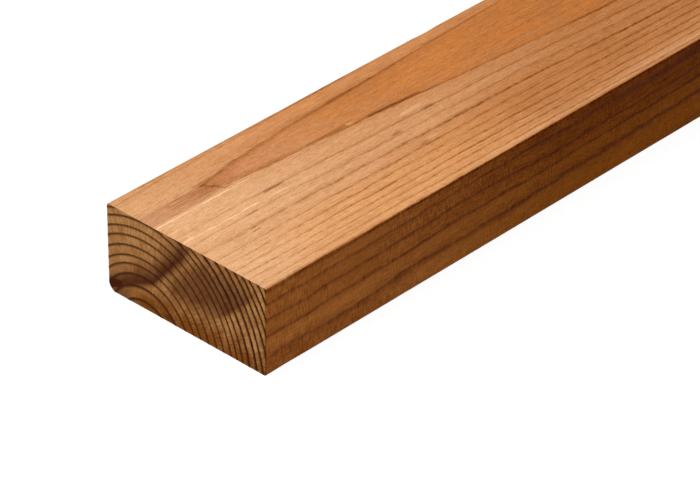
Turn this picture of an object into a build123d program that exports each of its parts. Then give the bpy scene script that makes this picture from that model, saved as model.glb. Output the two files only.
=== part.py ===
# Timber batten
#
# One length of planed softwood of rectangular section, square-sawn at both ends.
# It lies on a broad face. +X runs along the grain, Y across the broad face and +Z is up.
# The origin is the middle of the bottom face. The far long side faces +Y and the near one -Y.

import os

from build123d import *

# Driving dimensions, in millimetres
length = 1200.0  # sawn end to sawn end
width = 90.0  # across the broad faces
thickness = 42.0  # bottom face to top face
top_arris_radius = 1.0  # the two top long edges, only just eased
near_bottom_arris_radius = 1.5
far_bottom_arris_radius = 4.0  # the one long edge that is plainly rounded

with BuildPart() as batten:
    with BuildSketch(Plane.YZ.offset(-length / 2)) as section:
        Rectangle(width, thickness, align=(Align.CENTER, Align.MIN))
        fillet(section.vertices().group_by(Axis.Y)[-1], radius=top_arris_radius)
        fillet(section.vertices().group_by(Axis.Y)[0].sort_by(Axis.X)[-1], radius=far_bottom_arris_radius)
        fillet(section.vertices().group_by(Axis.Y)[0].sort_by(Axis.X)[0], radius=near_bottom_arris_radius)
    extrude(amount=length)

batten.part.label = "batten"

os.makedirs("parts", exist_ok=True)
export_step(batten.part, "parts/batten.step")
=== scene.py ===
import math
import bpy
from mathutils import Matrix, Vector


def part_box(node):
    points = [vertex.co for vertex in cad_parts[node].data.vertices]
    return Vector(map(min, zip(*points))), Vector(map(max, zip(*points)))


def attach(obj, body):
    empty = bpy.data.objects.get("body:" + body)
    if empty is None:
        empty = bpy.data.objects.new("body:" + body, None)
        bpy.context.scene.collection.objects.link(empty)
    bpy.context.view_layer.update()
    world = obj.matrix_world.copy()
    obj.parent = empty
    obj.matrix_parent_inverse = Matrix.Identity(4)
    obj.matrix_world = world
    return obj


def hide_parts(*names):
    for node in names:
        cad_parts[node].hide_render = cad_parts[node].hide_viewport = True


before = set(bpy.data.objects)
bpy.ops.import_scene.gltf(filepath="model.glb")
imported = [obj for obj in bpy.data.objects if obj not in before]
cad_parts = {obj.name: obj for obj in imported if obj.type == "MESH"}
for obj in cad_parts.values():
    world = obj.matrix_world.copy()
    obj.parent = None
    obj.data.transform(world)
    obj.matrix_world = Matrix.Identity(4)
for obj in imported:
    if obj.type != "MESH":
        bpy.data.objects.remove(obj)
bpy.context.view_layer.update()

from types import SimpleNamespace

import bmesh
import bpy
from mathutils import Matrix, Vector, noise

# The wood is worked out in millimetres from the sawn end that faces the camera:
# along runs down the grain, across from the far top edge, depth down from the top face.

low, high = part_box("batten")
stock = {
    "length": (high.x - low.x) * 1000,
    "width": (high.y - low.y) * 1000,
    "thick": (high.z - low.z) * 1000,
    "topArris": 1.0,
    "nearBottomArris": 1.5,
    "farBottomArris": 4.0,
    "arrisStep": 0.35,  # grid spacing at the arrises
    "faceStep": 0.83,  # and out on the faces
    "faceGrowth": 0.09,  # how fast the spacing grows on the way there
    "endStep": 0.45,  # grid spacing along the grain at the saw cuts
    "endGrowth": 0.13,
    "shownStep": 3.2,  # over the length that the camera sees
    "farStep": 10.0,
    "shownLength": 330.0,
    "grainSink": 0.05,  # softer wood lies this much below the ring lines
    "endSink": 0.1,  # and this much on the saw cuts
    "faceSink": 0.05,  # the faces dip by up to twice this
    "dipCells": (0.006, 0.05),  # dips to a millimetre, along the grain and across it
    "knockSink": 0.28,  # the deepest knocks along the arrises
    "knockCells": (0.045, 0.11),
    "knockRim": 0.6,  # within this of an edge they are deepest
    "knockReach": 1.8,  # and how far they reach onto the faces from there
    # torn fibres along the top of the shown saw cut: place across, half width, depth
    "chips": [(30.5, 2.6, 0.5), (42.5, 1.5, 0.4), (66.0, 1.2, 0.3)],
    "chipReach": 2.0,
}

# The middle of the tree lies outside the stock, below its bottom face. Pairs are sideways and upwards.
pith = {
    "across": 20.65,
    "below": 56.1,  # under the top face
    "wave": 1200.0,  # it swings once in this length
    "swing": (0.71, 0.98),
    "bow": (1.27, 3.29),
    "farBend": (5.0, 5.5),
    "oval": 0.0435,
    "skew": 0.012,
    # how far the ring lines leave their even course
    "sway": 0.18,
    "shortSway": 0.1,
    "tipSwell": 0.33,  # the ring that runs out in the top face
    "flameSwell": 0.25,  # what it swells more behind its tip
    "flameWander": 0.038,  # for each millimetre sideways
    "flameWave": 240.0,
    "bendAway": 1.5,  # the rings beside it
    "climb": 0.7,  # the lines of the near side, up at first
    "fall": 1.5,  # and down again
    # each ring line: distance from the middle, strength on the long faces, share of its ring that is dark
    "rings": [(2.6, 0.5, 0.2), (6.6, 0.6, 0.2), (11.6, 0.7, 0.2), (16.9, 0.6, 0.2), (22.9, 0.8, 0.16),
              (28.0, 0.7, 0.2), (32.5, 0.9, 0.16), (36.1, 0.7, 0.16), (40.6, 0.8, 0.2), (45.1, 0.6, 0.18),
              (49.0, 0.6, 0.16), (53.25, 1.0, 0.08), (56.6, 0.7, 0.12), (59.8, 0.6, 0.12),
              (63.6, 1.0, 0.22), (67.8, 0.9, 0.12), (71.3, 0.95, 0.13), (75.0, 1.0, 0.12),
              (78.3, 1.0, 0.13), (81.4, 1.0, 0.14), (85.0, 0.9, 0.16), (88.2, 0.95, 0.18),
              (91.6, 0.9, 0.22), (94.9, 0.95, 0.2), (98.0, 0.9, 0.2), (101.5, 0.9, 0.24),
              (105.0, 0.7, 0.2)],
}


class Sock:
    # a node's output that takes part in sums like a number
    def __init__(self, nodes, out):
        self.nodes = nodes
        self.out = out

    def calc(self, operation, *others):
        values = dict(enumerate((self,) + others))
        return self.nodes.add("ShaderNodeMath", {"operation": operation}, values)

    def __add__(self, other):
        return self.calc("ADD", other)

    __radd__ = __add__

    def __sub__(self, other):
        return self.calc("SUBTRACT", other)

    def __rsub__(self, other):
        return self.nodes.add("ShaderNodeMath", {"operation": "SUBTRACT"}, {0: other, 1: self})

    def __mul__(self, other):
        return self.calc("MULTIPLY", other)

    __rmul__ = __mul__

    def __truediv__(self, other):
        return self.calc("DIVIDE", other)

    def step(self, start, end):
        # 0 before start, 1 after end and smooth between; start may be the larger one
        if start > end:
            return 1 - self.step(end, start)
        values = {"Value": self, "From Min": start, "From Max": end}
        return self.nodes.add("ShaderNodeMapRange", {"interpolation_type": "SMOOTHSTEP"}, values)


class Nodes:
    # the nodes of one material, or of the room's light
    def __init__(self, owner):
        self.owner = owner
        owner.use_nodes = True
        self.tree = owner.node_tree
        self.tree.nodes.clear()

    def add(self, kind, settings=None, values=None, out=0):
        node = self.tree.nodes.new(kind)
        for name, value in (settings or {}).items():
            if name == "points":
                curve = node.mapping.curves[0]
                for spot in value[1:-1]:
                    curve.points.new(*spot)
                curve.points[0].location = value[0]
                curve.points[-1].location = value[-1]
                for point in curve.points:
                    point.handle_type = "VECTOR"
                node.mapping.update()
            else:
                setattr(node, name, value)
        for socket, value in (values or {}).items():
            if isinstance(value, Sock):
                self.tree.links.new(value.out, node.inputs[socket])
            else:
                node.inputs[socket].default_value = value
        return Sock(self, node.outputs[out]) if node.outputs else None

    def mix(self, share, first, second, blend="MIX"):
        settings = {"data_type": "RGBA", "blend_type": blend}
        return self.add("ShaderNodeMix", settings, {0: share, 6: first, 7: second}, 2)

    def shaded(self, colour, change):
        # lighter wood is also paler and darker wood is also deeper in colour
        parts = [clip(1 + change * share, 2.0) for share in (0.8, 1.1, 1.6)]
        return self.mix(1.0, colour, self.point(*parts), "MULTIPLY")

    def point(self, x, y, z):
        return self.add("ShaderNodeCombineXYZ", None, {0: x, 1: y, 2: z})

    def curve(self, points, value):
        return self.add("ShaderNodeFloatCurve", {"points": points}, {"Value": value})

    def grain(self, place, detail=2.0, rough=0.5):
        # noise of cells about one unit long
        values = {"Vector": place, "Scale": 1.0, "Detail": detail, "Roughness": rough}
        return self.add("ShaderNodeTexNoise", None, values)

    def apart(self, vector):
        node = self.tree.nodes.new("ShaderNodeSeparateXYZ")
        self.tree.links.new(vector.out, node.inputs[0])
        return [Sock(self, out) for out in node.outputs]


def tone(red, green, blue):
    # a colour read off a screen, 0 to 255, as the shader wants it
    parts = [value / 255 for value in (red, green, blue)]
    parts = [part / 12.92 if part <= 0.04045 else ((part + 0.055) / 1.055) ** 2.4 for part in parts]
    return (*parts, 1.0)


# These take numbers, for the mesh, and sockets, for the material
def root(value):
    return value.calc("SQRT") if isinstance(value, Sock) else math.sqrt(value)


def sine(value):
    return value.calc("SINE") if isinstance(value, Sock) else math.sin(value)


def cosine(value):
    return value.calc("COSINE") if isinstance(value, Sock) else math.cos(value)


def clip(value, most=1.0):
    if isinstance(value, Sock):
        return value.calc("MAXIMUM", 0.0).calc("MINIMUM", most)
    return min(most, max(0.0, value))


def fade(value, start, end):
    # 0 before start, 1 after end and smooth between; start may be the larger one
    if isinstance(value, Sock):
        return value.step(start, end)
    share = min(1.0, max(0.0, (value - start) / (end - start)))
    return share * share * (3 - 2 * share)


def fromPith(along, across, depth):
    # how far sideways and upwards of the tree's middle a point lies
    turn = along * (2 * math.pi / pith["wave"])
    swing = sine(turn)
    bow = 1 - cosine(turn)
    share = along * (1 / stock["length"])
    cube = share * share * share
    middle = pith["across"] - pith["swing"][0] * swing + pith["bow"][0] * bow + pith["farBend"][0] * cube
    below = pith["below"] - pith["swing"][1] * swing - pith["bow"][1] * bow - pith["farBend"][1] * cube
    return across - middle, below - depth


def ringReach(along, side, up):
    # distance from the tree's middle, evened out so that each ring has one value
    far = root(side * side + up * up)
    bent = pith["oval"] * (up * up - side * side) + 2 * pith["skew"] * side * up
    sway = pith["sway"] * sine(along * 0.031) * cosine(side * 0.11 + up * 0.07)
    sway += pith["shortSway"] * sine(along * 0.083) * cosine(up * 0.15)
    # the ring that runs out in the top face swells and wanders, and those beside it bend away from it
    flameTurn = (along - 165) * (2 * math.pi / pith["flameWave"])
    swell = pith["tipSwell"] + pith["flameSwell"] * fade(along, 140, 190)
    swell += pith["flameWander"] * side * sine(flameTurn)
    swell = swell * fade(along, 34, 62) * fade(far, 57.5, 54.5)
    swell += pith["bendAway"] * fade(along, 180, 270) * fade(far, 54.5, 58) * fade(far, 76, 63)
    # along the near side the lines first climb and then fall back again
    climb = pith["climb"] * fade(along, 50, 110) * fade(along, 250, 185)
    climb -= pith["fall"] * fade(along, 115, 185) * fade(up, 28, 41)
    swell += climb * fade(side, 56, 66) * fade(up, 51, 45) * fade(along, 620, 330)
    return far - bent / far + sway - swell


def lateShare(part, width):
    # part is 0.5 on a ring line; the wood darkens slowly up to it and is pale again soon after
    return clip((part - 0.5) / width + 1.0) * clip((0.5 + width * 0.6 - part) / (width * 0.5))


def lateWood(along, across, depth):
    # 1 on a ring line, 0 in the soft wood between
    side, up = fromPith(along, across, depth)
    reach = ringReach(along, side, up)
    rings = pith["rings"]
    for inner, outer in zip(rings, rings[1:]):
        if reach < outer[0]:
            part = 0.5 + (reach - inner[0]) / (outer[0] - inner[0])
            return lateShare(part % 1.0, outer[2])
    return 0.0


# The batten's mesh: a block cut into a fine grid, its long edges eased, its faces worn by the grain

def gridPlaces(total, stepAt):
    places = [0.0]
    while places[-1] < total:
        places.append(places[-1] + stepAt(places[-1]))
    return [place * total / places[-1] for place in places]


def crossStep(total):
    def stepAt(place):
        edge = min(place, total - place)
        return min(stock["faceStep"], stock["arrisStep"] + stock["faceGrowth"] * edge)
    return stepAt


def alongStep(place):
    edge = min(place, stock["length"] - place)
    plain = stock["shownStep"] if place < stock["shownLength"] else stock["farStep"]
    return min(plain, stock["endStep"] + stock["endGrowth"] * max(0.0, edge - 1.0))


def easedCorner(across, depth):
    # wraps the square corner of the section onto its rounded arris
    wide = stock["width"]
    deep = stock["thick"]
    corners = [
        (0.0, 0.0, 1, 1, stock["topArris"]),
        (wide, 0.0, -1, 1, stock["topArris"]),
        (wide, deep, -1, -1, stock["nearBottomArris"]),
        (0.0, deep, 1, -1, stock["farBottomArris"]),
    ]
    for cornerAcross, cornerDepth, wayAcross, wayDepth, radius in corners:
        first = 1 - (across - cornerAcross) * wayAcross / radius
        second = 1 - (depth - cornerDepth) * wayDepth / radius
        if first > 1e-6 and second > 1e-6:
            reach = max(first, second)
            turn = math.pi / 4 * second / first if first >= second else math.pi / 4 * (2 - first / second)
            across = cornerAcross + wayAcross * radius * (1 - reach * math.cos(turn))
            depth = cornerDepth + wayDepth * radius * (1 - reach * math.sin(turn))
    return across, depth


def cutBlock(places):
    # a cube cut so often along each axis that its corners can move onto the places
    bm = bmesh.new()
    bmesh.ops.create_cube(bm, size=1.0)
    bmesh.ops.translate(bm, verts=bm.verts, vec=(0.5, 0.5, 0.5))
    for axis in (1, 2, 0):
        runs = [edge for edge in bm.edges if abs(edge.verts[0].co[axis] - edge.verts[1].co[axis]) > 0.5]
        bmesh.ops.subdivide_edges(bm, edges=runs, cuts=len(places[axis]) - 2, use_grid_fill=True)
    for vert in bm.verts:
        spots = [places[axis][round(vert.co[axis] * (len(places[axis]) - 1))] for axis in range(3)]
        vert.co = Vector((spots[0], stock["width"] - spots[1], stock["thick"] - spots[2]))
    bmesh.ops.recalc_face_normals(bm, faces=bm.faces)
    bm.normal_update()
    return bm


def buildBatten():
    wide = stock["width"]
    deep = stock["thick"]
    bm = cutBlock([
        gridPlaces(stock["length"], alongStep),
        gridPlaces(wide, crossStep(wide)),
        gridPlaces(deep, crossStep(deep)),
    ])
    layBakeMap(bm)
    for edge in bm.edges:
        # the saw cuts keep their sharp rim
        first, second = [face.normal for face in edge.link_faces]
        if abs(first.x) + abs(second.x) > 0.5 and abs(first.x * second.x) < 0.5:
            edge.smooth = False
    for vert in bm.verts:
        across, depth = easedCorner(wide - vert.co.y, deep - vert.co.z)
        vert.co.y = wide - across
        vert.co.z = deep - depth
    bm.normal_update()
    wearBatten(bm)
    shift = Vector((-stock["length"] / 2, -wide / 2, 0))
    for vert in bm.verts:
        vert.co = (vert.co + shift) / 1000
    for face in bm.faces:
        face.smooth = True
    mesh = bpy.data.meshes.new("dressedBatten")
    bm.to_mesh(mesh)
    bm.free()
    return mesh


bakeSheet = {
    "size": 1024,
    "margin": 6,
    "gap": 12,
    "girthScale": 3.05,  # sheet units for each millimetre round the section
    "endScale": 4.2,  # and on the saw cuts
}


def layBakeMap(bm):
    # the four long faces as one sheet, the two saw cuts beside each other below it
    wide = stock["width"]
    deep = stock["thick"]
    margin = bakeSheet["margin"]
    gap = bakeSheet["gap"]
    endScale = bakeSheet["endScale"]
    girthScale = bakeSheet["girthScale"]
    lengthScale = (bakeSheet["size"] - 2 * margin) / stock["length"]
    layer = bm.loops.layers.uv.new("OFBake")
    for face in bm.faces:
        normal = face.normal
        for loop in face.loops:
            spot = loop.vert.co
            across = wide - spot.y
            depth = deep - spot.z
            if abs(normal.x) > 0.5:
                left = margin if normal.x < 0 else margin + endScale * wide + gap
                place = (left + across * endScale, margin + depth * endScale)
            else:
                if normal.z > 0.5:
                    girth = across
                elif normal.y < -0.5:
                    girth = wide + depth
                elif normal.z < -0.5:
                    girth = wide + deep + wide - across
                else:
                    girth = wide + deep + wide + deep - depth
                place = (margin + spot.x * lengthScale, gap + endScale * deep + girth * girthScale)
            loop[layer].uv = (place[0] / bakeSheet["size"], place[1] / bakeSheet["size"])


def wearBatten(bm):
    wide = stock["width"]
    deep = stock["thick"]
    length = stock["length"]
    moves = []
    for vert in bm.verts:
        along = vert.co.x
        across = wide - vert.co.y
        depth = deep - vert.co.z
        late = lateWood(along, across, depth)
        onEnd = along < 0.01 or along > length - 0.01
        sink = (stock["endSink"] if onEnd else stock["grainSink"]) * (1 - late)
        dipAlong, dipCross = stock["dipCells"]
        dip = noise.noise(Vector((along * dipAlong, across * dipCross, depth * dipCross)))
        sink += stock["faceSink"] * (1 + dip)
        toSide = max(0.0, min(across, wide - across) - stock["knockRim"])
        toFlat = max(0.0, min(depth, deep - depth) - stock["knockRim"])
        knockAlong, knockCross = stock["knockCells"]
        knock = noise.noise(Vector((along * knockAlong, across * knockCross + 7.0, depth * knockCross)))
        atArris = fade(math.hypot(toSide, toFlat), stock["knockReach"], 0.0)
        sink += stock["knockSink"] * fade(knock, 0.25, 0.8) * atArris
        atRim = fade(math.hypot(along, depth), stock["chipReach"], 0.4)
        for place, half, deepest in stock["chips"]:
            sink += deepest * fade(abs(across - place), half, half * 0.3) * atRim
        moves.append((vert, vert.normal * -sink))
    for vert, move in moves:
        vert.co += move


# The wood

shades = {
    # pale is the top's wood with painted sheen and painted light on it near the sawn end
    "pale": tone(231, 176, 128),
    "warm": tone(198, 130, 76),
    "gold": tone(228, 157, 94),
    "orange": tone(202, 124, 60),
    "tipRed": tone(204, 126, 84),
    "late": tone(116, 56, 20),
    "tip": tone(160, 82, 48),
    "streak": tone(250, 205, 155),
    "side": tone(206, 122, 54),
    # the sides' colour away from the sawn end: painted shade, and patchy tone further on
    "sideShadeAndTone": tone(169, 89, 21),
    "sideLate": tone(104, 38, 22),
    "end": tone(228, 162, 97),
    "endLow": tone(164, 95, 33),
    "endLate": tone(56, 17, 4),
    "endLateRed": tone(72, 26, 8),
    "stain": tone(134, 72, 32),
    "stainDark": tone(84, 32, 9),
    "reddening": (0.83, 0.76, 0.76, 1.0),  # the reddish strip on the top face is multiplied by this
}

finish = {
    "roughness": 0.66,
    "specular": 0.04,
    "bump": 0.3,
    "bumpHeight": 0.00018,
    "topLines": 0.76,  # how much the ring lines darken the top
    "speck": 0.64,  # how much the finest noise lightens and darkens the long faces
    "speckCells": (1.1, 1.6),  # its cells to a millimetre, along the grain and across it
    "tick": 1.6,  # how much the short upright scratches on the sides do
    "golden": 0.45,  # the strongest golden tint near the near edge of the top
    "heart": 0.8,  # and orange inside the ring that runs out
    "tipRed": 0.7,  # and red at its tip
    "paintedEdgeSheen": 0.4,  # the painted sheen along the near top edge
}

# Noise that follows the fibres: cells to a millimetre along the grain and across it, its detail and
# roughness, and how much it lightens and darkens the long faces
fibres = {
    "hair": {"along": 0.3, "cross": 2.6, "detail": 2.0, "rough": 0.7, "tone": 0.7},
    "thread": {"along": 0.12, "cross": 1.9, "detail": 2.0, "rough": 0.6, "tone": 0.6},
    "fleck": {"along": 0.3, "cross": 0.4, "detail": 3.0, "rough": 0.65, "tone": 0.28},
    "fibre": {"along": 0.014, "cross": 0.8, "detail": 3.0, "rough": 0.6, "tone": 0.5},
    "mottle": {"along": 0.06, "cross": 0.14, "detail": 3.0, "rough": 0.6, "tone": 0.4},
    "cloud": {"along": 0.008, "cross": 0.05, "detail": 2.0, "rough": 0.5, "tone": 0.0},
    "wander": {"along": 0.07, "cross": 0.22, "detail": 3.0, "rough": 0.6, "tone": 0.0},
}

# Small marks on the top face near the sawn end: from and to (along, across), half width, strength
darkMarks = [
    (50.5, 40.2, 59.5, 40.3, 1.0, 0.6),
    (33.2, 47.5, 38.2, 47.3, 0.8, 0.4),
    (26.8, 57.8, 29.6, 57.6, 0.7, 0.45),
    (119.0, 48.4, 121.6, 48.1, 1.2, 0.45),
    (143.2, 43.0, 146.8, 43.1, 1.2, 0.55),
    (121.6, 61.5, 124.6, 61.2, 1.1, 0.4),
    (84.0, 73.2, 92.4, 73.0, 0.9, 0.5),
    (88.0, 28.0, 111.0, 28.2, 1.0, 0.4),
    (123.0, 30.6, 150.0, 32.4, 1.3, 0.6),
    (118.0, 10.3, 138.0, 8.4, 1.1, 0.2),
]
paleMarks = [
    (0.0, 28.5, 52.0, 28.3, 0.5, 1.0),
    (0.0, 43.5, 26.0, 43.7, 0.45, 0.9),
    (20.0, 43.8, 58.0, 44.2, 0.45, 0.7),
    (60.0, 44.6, 76.0, 45.2, 0.7, 0.3),
    (134.0, 39.8, 141.5, 39.4, 1.7, 0.28),
    (123.0, 49.0, 125.5, 49.0, 1.0, 0.25),
    (126.5, 60.4, 130.0, 60.4, 1.2, 0.25),
    (111.6, 28.6, 114.6, 29.4, 1.0, 0.4),
]
# and the outline of the tip in which the level grain ends
tipMarks = [
    (35.6, 18.6, 38.5, 22.4, 0.8, 0.6),
    (38.5, 22.4, 42.0, 26.4, 0.7, 0.5),
    (36.0, 18.4, 58.0, 14.6, 0.8, 0.5),
]


def markShare(along, across, mark):
    # 1 on the mark's own line, 0 past its half width
    startAlong, startAcross, endAlong, endAcross, half, strength = mark
    runAlong = endAlong - startAlong
    runAcross = endAcross - startAcross
    run = runAlong * runAlong + runAcross * runAcross
    gone = clip((along - startAlong) * (runAlong / run) + (across - startAcross) * (runAcross / run))
    offAlong = (along - startAlong - gone * runAlong) * 0.45
    offAcross = across - startAcross - gone * runAcross
    off = root(offAlong * offAlong + offAcross * offAcross + 1e-6)
    return fade(off, half, half * 0.25) * strength


def marksShare(along, across, marks):
    share = 0
    for mark in marks:
        share = markShare(along, across, mark) + share
    return share


def findPlace(wood):
    # where a spot of the surface lies, on which face, and how far from the tree's middle
    at = SimpleNamespace()
    xPlace, yPlace, zPlace = wood.apart(wood.add("ShaderNodeTexCoord", out="Object"))
    at.along = xPlace * 1000 + stock["length"] / 2
    at.across = stock["width"] / 2 - yPlace * 1000
    at.depth = stock["thick"] - zPlace * 1000
    xFacing, yFacing, zFacing = wood.apart(wood.add("ShaderNodeTexCoord", out="Normal"))
    at.onEnd = (xFacing * xFacing).step(0.4, 0.6)
    at.onSide = (yFacing * yFacing).step(0.3, 0.7)
    at.onTop = zFacing.step(0.5, 0.8)
    at.side, at.up = fromPith(at.along, at.across, at.depth)
    at.reach = ringReach(at.along, at.side, at.up)
    return at


def findFibres(wood, at):
    for name, look in fibres.items():
        place = wood.point(at.along * look["along"], at.side * look["cross"], at.up * look["cross"])
        setattr(at, name, wood.grain(place, look["detail"], look["rough"]) - 0.5)
    speckAlong, speckCross = finish["speckCells"]
    place = wood.point(at.along * speckAlong, at.across * speckCross, at.depth * speckCross)
    at.speck = wood.grain(place, 2.0, 0.7) - 0.5
    # short upright scratches, in patches on the sides
    patches = wood.grain(wood.point(at.along * 0.03, at.depth * 0.06, 9.0)).step(0.3, 0.6)
    tick = wood.grain(wood.point(at.along * 1.1, at.depth * 0.22, at.across * 0.3), 2.0, 0.6) - 0.5
    at.tick = tick * patches * at.onSide


def ringValue(wood, counts, counted, value):
    # a value from the list of rings, as it changes from ring to ring
    points = [(count[1], ring[value]) for count, ring in zip(counts, pith["rings"])]
    return wood.curve([(0.0, 0.5)] + points + [(1.0, 0.5)], counted)


def findRings(wood, at):
    # how far through its ring a spot is, how dark its wood is, and how much of that shows on a long face
    rings = pith["rings"]
    span = rings[-1][0]
    counts = [(ring[0] / span, (number + 0.5) / len(rings)) for number, ring in enumerate(rings)]
    at.outer = at.reach.step(54.5, 60)
    frayed = at.reach + at.fibre * 0.4 + at.thread * 0.42 + at.wander * 1.4 * at.outer
    frayed = frayed + at.onEnd * at.hair * 0.4
    counted = wood.curve([(0.0, 0.0)] + counts, frayed / span)
    count = counted * len(rings)
    at.part = count.calc("FRACT")
    number = count.calc("FLOOR")
    force, width = [ringValue(wood, counts, counted, value) for value in (1, 2)]
    at.late = clip(lateShare(at.part, width + at.onSide * 0.05) * 0.85 + lateShare(at.part, 0.4) * 0.2)
    # the lines of the long faces come and go, and are weaker near the sawn end
    patchy = wood.grain(wood.point(at.along * 0.022, number * 3.7, 0.0), 2.0, 0.6).step(0.15, 0.6)
    broken = wood.grain(wood.point(at.along * 0.35, number * 3.7, 0.0), 3.0, 0.6).step(0.38, 0.62)
    line = at.late * force * (patchy * 0.4 + (broken - 0.5) * (at.outer * 0.32 + 0.1) + 0.55)
    at.line = line * (0.46 + at.onSide * 0.12 + at.along.step(0, 180) * (0.34 - at.onSide * 0.14))


def topColour(wood, at):
    # pale at the sawn end, which is painted sheen and painted light that fade along the grain, golden near
    # the near edge, orange inside the ring that runs out
    paintedShadeAndTone = at.along.step(-40, 230) + at.across.step(62, 74) * 0.08
    paintedShadeAndTone = paintedShadeAndTone + at.across.step(21, 8) * 0.3 + at.across.step(29, 25) * 0.14
    paintedShadeAndTone = paintedShadeAndTone + at.cloud * (0.7 + at.along.step(60, 400) * 1.5) + at.fibre * 0.35 + at.mottle * 0.6
    top = wood.mix(clip(paintedShadeAndTone), shades["pale"], shades["warm"])
    golden = at.across.step(56, 72) * at.along.step(5, 60) * at.along.step(185, 130)
    top = wood.mix(golden * finish["golden"], top, shades["gold"])
    patches = 1 + at.mottle * 3
    heart = at.reach.step(53.6, 52.8) * at.along.step(10, 190) * finish["heart"]
    top = wood.mix(clip(heart * patches), top, shades["orange"])
    tipRed = at.reach.step(53.4, 53.0) * at.along.step(110, 40) * finish["tipRed"]
    return wood.mix(clip(tipRed * patches), top, shades["tipRed"])


def sideColour(wood, at):
    # darker away from the sawn end, which is painted shade of the lamp's falloff, and patchy in tone past
    # the length that the camera sees
    patches = 1 - at.along.step(300, 500) * clip(at.cloud * 3 + 0.4)
    paintedShadeAndTone = at.along.step(20, 215) * patches + at.fibre * 0.5
    return wood.mix(clip(paintedShadeAndTone), shades["side"], shades["sideShadeAndTone"])


def topMarks(wood, long, at):
    # where the grain lies level with the top face it shows as a reddish strip that ends in a tip
    along = at.along + at.fleck * 5
    across = at.across + at.thread * 1.5
    strip = across.step(15.6, 21.0) * across.step(28.0, 25.6) * along.step(44, 32) * at.onTop
    long = wood.mix(strip, long, shades["reddening"], "MULTIPLY")
    farRim = (across - 18.9).calc("ABSOLUTE").step(1.4, 0.0)
    nearRim = (across - 26.4).calc("ABSOLUTE").step(0.9, 0.0)
    rims = (farRim + nearRim) * strip * (0.22 + at.fleck * 0.4)
    long = wood.mix(clip(rims), long, shades["tip"])
    long = wood.mix(clip(marksShare(along, across, tipMarks) * at.onTop), long, shades["tip"])
    dark = marksShare(along, across, darkMarks) * at.onTop * (1 + at.fleck * 2)
    long = wood.mix(clip(dark), long, shades["late"])
    pale = marksShare(along, across, paleMarks) * at.onTop * (1.1 + at.fleck * 2)
    long = wood.mix(clip(pale), long, shades["streak"])
    # the pale line along the near top edge is painted sheen on its eased arris
    paintedEdgeSheen = across.step(85.2, 86.6) * across.step(89.2, 88.0) * at.onTop * along.step(40, 220)
    return wood.mix(paintedEdgeSheen * finish["paintedEdgeSheen"], long, shades["pale"])


def longChange(at):
    # how much lighter or darker than its own colour each spot of a long face is
    along = at.along
    across = at.across
    change = at.speck * finish["speck"]
    for name, look in fibres.items():
        if look["tone"]:
            change = change + getattr(at, name) * look["tone"]
    # stronger on the sides, and more so away from the sawn end
    change = change * (1 + at.onSide * (0.12 + along.step(0, 150) * 0.7)) + at.tick * finish["tick"]
    change = change + at.speck * at.onSide * along.step(20, 170) * 0.8
    change = change - at.line * (1 - at.onSide) * finish["topLines"]
    # dark along the far top arris and light beside it
    change = change - across.step(2.6, 0.8) * at.onTop * along.step(4, 20) * along.step(170, 120) * 0.25
    change = change + along.step(20, 60) * across.step(11, 6) * at.onTop * 0.15
    # further down the stock the top is a little darker, but not at its near edge: painted shade that
    # carries on the lamp's falloff
    change = change - along.step(150, 235) * across.step(84, 70) * at.onTop * 0.1
    # painted shade makes the sides darkest under their top arris, and painted bounce light from the floor
    # makes them lighter towards it
    change = change - at.onSide * at.depth.step(2.0, 0.9) * 0.35
    change = change + at.onSide * (at.depth - 21) * along.step(30, 200) * 0.012
    # two rings of the near side are lighter as a whole, the inner one only away from the sawn end
    band = at.reach.step(78.2, 77.4) * at.reach.step(74.4, 77.0) * 0.24
    band = band + at.reach.step(75.0, 74.0) * (along.step(35, 95) * 0.42 - 0.12)
    return change + band * at.onSide * across.step(60, 80)


def longFaces(wood, at):
    plain = wood.mix(at.onSide, topColour(wood, at), sideColour(wood, at))
    long = wood.mix(at.line * at.onSide, plain, shades["sideLate"])
    long = topMarks(wood, long, at)
    return wood.shaded(long, longChange(at))


def endStain(wood, across, depth):
    # the damp mark on the saw cut that the camera sees: a wedge that rises from the far bottom corner to
    # the top edge, a broad part beside it, the corner itself and a small spot near the bottom edge
    wander = (wood.grain(wood.point(across * 0.25, depth * 0.25, 3.0), 3.0, 0.6) - 0.5) * 5
    lower = (40.6 - across * 0.45).calc("MINIMUM", 57.4 - across * 1.09) + wander * 0.2 - depth
    spread = (lower + wander) / (across * 0.02 + 0.62)
    wedge = (lower / (across.step(24, 40) + 1.0)).step(-1.6, 2.2) * spread.step(17.0, 1.0)
    wedge = wedge * across.step(52, 42)
    past = 25.5 - (across - 66.0) * 0.9 + wander * 0.4 - depth
    middle = past.step(-1.5, 2.5) * (past + wander).step(41.0, 24.0) * depth.step(35, 22)
    middle = middle * (across + wander).step(27, 41) * (across + wander).step(89, 76)
    middle = middle * (1 - across.step(50, 62) * (depth + wander).step(11, 3) * 0.6)
    corner = across.step(18, 6) * (depth + wander).step(34, 39)
    spotAcross = (across - 34.5) * 0.25
    spotDepth = (depth - 39.8) * 0.5
    spot = root(spotAcross * spotAcross + spotDepth * spotDepth).step(1.3, 0.3)
    return clip(wedge * 0.95 + middle * 0.74 + corner * 0.7 + spot * 0.7)


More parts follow.
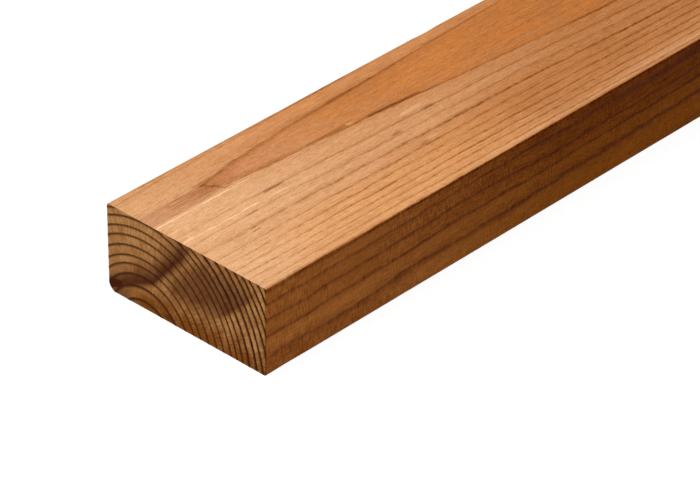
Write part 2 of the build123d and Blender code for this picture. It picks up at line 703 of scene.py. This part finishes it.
def sawCut(wood, at):
    # the sawn ends: rays out from the middle, wide dark ring lines and the damp mark
    along = at.along
    across = at.across
    depth = at.depth
    angle = at.side.calc("ARCTAN2", at.up)
    ray = wood.grain(wood.point(angle * 42, at.reach * 0.14, along * 0.3), 3.0, 0.65) - 0.5
    pore = wood.grain(wood.point(across * 1.6, depth * 1.6, along * 0.2), 3.0, 0.7) - 0.5
    blotch = wood.grain(wood.point(across * 0.14, depth * 0.14, along * 0.02), 3.0, 0.6) - 0.5
    foot = (depth - across * 0.03).step(25, 40) * across.step(4, 26) * (1 - across.step(76, 88) * 0.5)
    paleness = clip(ray * 1.2 + pore * 0.9 + blotch * 1.6 + 0.8 - foot)
    end = wood.mix(paleness, shades["endLow"], shades["end"])
    stain = endStain(wood, across, depth) * along.step(900, 300)
    end = wood.mix(stain, end, wood.mix(stain, shades["stain"], shades["stainDark"]))
    outer = at.reach.step(48, 66)
    late = clip(lateShare(at.part, 0.25 + outer * 0.14) * 1.25)
    force = 0.84 + outer * 0.12 + pore * 0.7 + blotch * 0.5
    end = wood.mix(clip(late * force), end, wood.mix(outer, shades["endLateRed"], shades["endLate"]))
    # a painted shade line darkens the cut at its near upright edge, and painted light brightens its upper
    # far corner
    change = pore * 0.9 + ray * 0.6 + blotch * 0.4 - across.step(88.6, 89.5) * 0.55
    return wood.shaded(end, change + across.step(42, 12) * depth.step(24, 3) * 0.13)


def plankWood():
    wood = Nodes(bpy.data.materials.new("planedSoftwood"))
    at = findPlace(wood)
    findFibres(wood, at)
    findRings(wood, at)
    colour = wood.mix(at.onEnd, longFaces(wood, at), sawCut(wood, at))
    rough = finish["roughness"] - 0.1 * at.late + 0.12 * at.thread
    height = at.late * 0.4 + at.thread * 0.6 + at.fibre * 0.3 + at.tick * 0.8 + at.hair * 0.4
    bump = wood.add("ShaderNodeBump", None, {
        "Strength": finish["bump"], "Distance": finish["bumpHeight"], "Height": height})
    shader = wood.add("ShaderNodeBsdfPrincipled", None, {
        "Base Color": colour, "Roughness": rough, "Specular IOR Level": finish["specular"], "Normal": bump})
    wood.add("ShaderNodeOutputMaterial", None, {"Surface": shader})
    return wood.owner


# The floor and the light

light = {
    "fill": 0.14,  # what the room gives from all sides
    "fillTint": (1, 0.97, 0.93, 1),
    "floorShade": 0.2,  # how much light the floor throws back
    "shownGlow": 0.93,  # the floor as the camera sees it: its own white
    "shownShade": 0.14,  # and what the lamps add, less the shadow
    "floorSize": 30.0,
    # in metres from the middle of the stock; aim is where along the grain the lamp points
    "boxes": {
        "softBox": {"place": (-0.68, 0.15, 0.95), "size": 0.8, "watts": 7.6, "aim": -0.5},
        "backBox": {"place": (0.3, 0.9, 0.8), "size": 0.7, "watts": 3.5, "aim": -0.5},
        "frontBox": {"place": (-1.15, -0.42, 0.28), "size": 0.25, "watts": 1.6, "aim": -0.5},
        "farBox": {"place": (1.5, 0.5, 0.4), "size": 0.5, "watts": 4.0, "aim": 0.6},
    },
}


def seenRay(nodes):
    paths = nodes.tree.nodes.new("ShaderNodeLightPath")
    names = ("Is Camera Ray", "Is Glossy Ray", "Is Transmission Ray")
    camera, glossy, through = [Sock(nodes, paths.outputs[name]) for name in names]
    return camera.calc("MAXIMUM", glossy).calc("MAXIMUM", through)


def grey(value):
    return (value, value, value, 1)


def floorFinish():
    floor = Nodes(bpy.data.materials.new("paleFloor"))
    glow = floor.add("ShaderNodeEmission", None, {"Color": grey(1), "Strength": light["shownGlow"]})
    soft = floor.add("ShaderNodeBsdfDiffuse", None, {"Color": grey(light["shownShade"])})
    seen = floor.add("ShaderNodeAddShader", None, {0: glow, 1: soft})
    unseen = floor.add("ShaderNodeBsdfDiffuse", None, {"Color": grey(light["floorShade"])})
    both = floor.add("ShaderNodeMixShader", None, {0: seenRay(floor), 1: unseen, 2: seen})
    floor.add("ShaderNodeOutputMaterial", None, {"Surface": both})
    return floor.owner


def buildStage():
    bm = bmesh.new()
    bmesh.ops.create_grid(bm, x_segments=1, y_segments=1, size=light["floorSize"])
    mesh = bpy.data.meshes.new("floor")
    bm.to_mesh(mesh)
    bm.free()
    floor = bpy.data.objects.new("floor", mesh)
    bpy.context.collection.objects.link(floor)
    floor.data.materials.append(floorFinish())


def lightRoom():
    world = bpy.data.worlds.new("room")
    bpy.context.scene.world = world
    room = Nodes(world)
    white = room.add("ShaderNodeBackground", None, {"Color": grey(1), "Strength": 1.0})
    fill = room.add("ShaderNodeBackground", None, {"Color": light["fillTint"], "Strength": light["fill"]})
    both = room.add("ShaderNodeMixShader", None, {0: seenRay(room), 1: fill, 2: white})
    room.add("ShaderNodeOutputWorld", None, {"Surface": both})
    for name, box in light["boxes"].items():
        lamp = bpy.data.lights.new(name, "AREA")
        lamp.size = box["size"]
        lamp.energy = box["watts"]
        stand = bpy.data.objects.new(name, lamp)
        bpy.context.collection.objects.link(stand)
        place = Vector(box["place"])
        turn = (Vector((box["aim"], 0.0, 0.02)) - place).to_track_quat("-Z", "Y")
        stand.matrix_world = Matrix.Translation(place) @ turn.to_matrix().to_4x4()


shot = {
    "frame": (700, 500),  # width and height of the picture, in pixels
    "turn": 43.08,  # degrees from the grain's direction
    "down": 33.52,
    "roll": -0.46,
    "distance": 1.581,  # to the bottom near corner of the sawn end
    "corner": (266.6, 377.2),  # the pixel where that corner shows
    "focus": 3991.0,  # focal length in pixels
    "sensor": 36.0,
}


def setCamera():
    turn, down, roll = [math.radians(shot[name]) for name in ("turn", "down", "roll")]
    ahead = Vector((math.cos(turn) * math.cos(down), math.sin(turn) * math.cos(down), -math.sin(down)))
    right = ahead.cross(Vector((0, 0, 1))).normalized()
    below = ahead.cross(right)
    right, below = (right * math.cos(roll) + below * math.sin(roll),
                    below * math.cos(roll) - right * math.sin(roll))
    sideways = (shot["corner"][0] - shot["frame"][0] / 2) / shot["focus"]
    downwards = (shot["corner"][1] - shot["frame"][1] / 2) / shot["focus"]
    corner = Vector((low.x, low.y, low.z))
    place = corner - (right * sideways + below * downwards + ahead) * shot["distance"]
    lens = bpy.data.cameras.new("camera")
    lens.sensor_fit = "HORIZONTAL"
    lens.sensor_width = shot["sensor"]
    lens.lens = shot["focus"] * shot["sensor"] / shot["frame"][0]
    camera = bpy.data.objects.new("camera", lens)
    bpy.context.collection.objects.link(camera)
    frameAxes = Matrix((right, -below, -ahead)).transposed().to_4x4()
    camera.matrix_world = Matrix.Translation(place) @ frameAxes
    bpy.context.scene.camera = camera


print("batten mesh")
piece = bpy.data.objects.new("dressedBatten", buildBatten())
bpy.context.collection.objects.link(piece)
print("wood")
piece.data.materials.append(plankWood())
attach(piece, "root")
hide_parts("batten")
print("floor, lights and camera")
buildStage()
lightRoom()
setCamera()
bpy.context.scene.view_settings.view_transform = "Standard"
